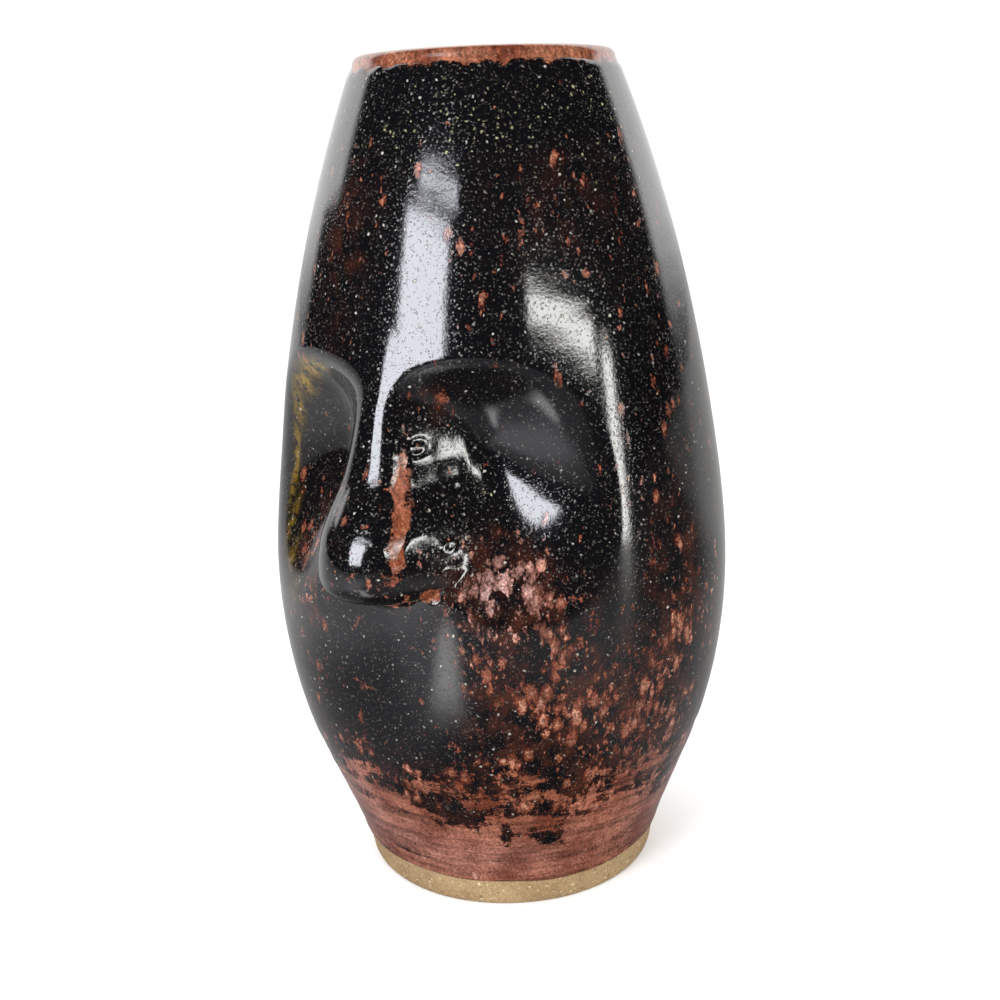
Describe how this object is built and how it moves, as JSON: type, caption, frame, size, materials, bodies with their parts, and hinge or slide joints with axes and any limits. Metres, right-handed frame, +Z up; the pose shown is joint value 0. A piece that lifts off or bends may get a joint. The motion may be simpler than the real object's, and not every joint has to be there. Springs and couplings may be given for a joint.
{
  "type": "face vase",
  "caption": "Stoneware vase with a nose and two eye hollows shaped into its front, a narrow open mouth, glossy black and rust glazes and a bare clay foot.",
  "frame": {"origin": "centre of the foot's flat underside, on the pot's axis", "axes": "+Z up the pot's axis, -Y the way the nose points, +X to the right of someone who looks at the face"},
  "size_m": [0.1436, 0.1571, 0.254],
  "materials": {
    "stoneware": "fired clay",
    "bare_stoneware": "bare fired clay with dark grog",
    "rust_glaze": "satin iron-red glaze",
    "black_glaze": "glossy black glaze with rust flecks",
    "liner_glaze": "glossy dark liner glaze"
  },
  "bodies": {
    "root": {"thrown_wall": "stoneware", "floor_disc": "bare_stoneware", "nose": "stoneware", "rust_glaze": "rust_glaze", "black_glaze": "black_glaze", "liner_glaze": "liner_glaze"}
  },
  "joints": []
}
